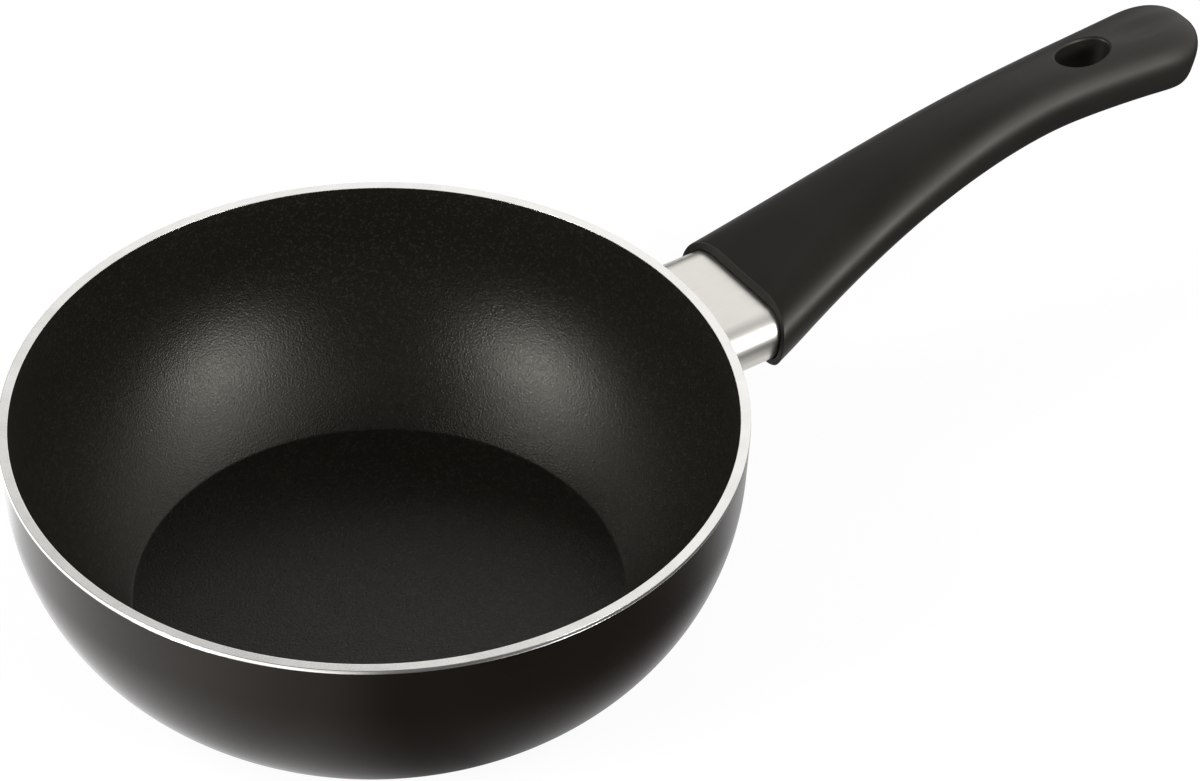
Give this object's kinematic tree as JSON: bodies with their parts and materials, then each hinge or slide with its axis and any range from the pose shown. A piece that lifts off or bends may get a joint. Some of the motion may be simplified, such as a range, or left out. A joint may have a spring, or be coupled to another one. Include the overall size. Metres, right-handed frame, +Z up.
{
  "type": "wok",
  "caption": "Flat-bottomed wok: deep black non-stick bowl with a bright turned rim, a metal flame guard and a rising black handle with a hanging eye, held on by a hidden screw.",
  "frame": {"origin": "centre of the flat rest face under the bowl", "axes": "+Z up along the bowl's axis, +X along the handle from the bowl to the tail, +Y to the left of the handle seen from the bowl"},
  "size_m": [0.3763, 0.2, 0.0893],
  "materials": {
    "coated_aluminium": "black speckled non-stick coat inside, black satin lacquer outside, bare turned rim",
    "stud_aluminium": "plain, as welded",
    "guard_metal": "satin",
    "phenolic": "satin moulded phenolic",
    "fixing_steel": "zinc plated"
  },
  "bodies": {
    "root": {"pan_body": "coated_aluminium", "weld_stud": "stud_aluminium", "flame_guard": "guard_metal", "handle": "phenolic", "plain_washer": "fixing_steel", "spring_washer": "fixing_steel", "handle_screw": "fixing_steel"}
  },
  "joints": []
}
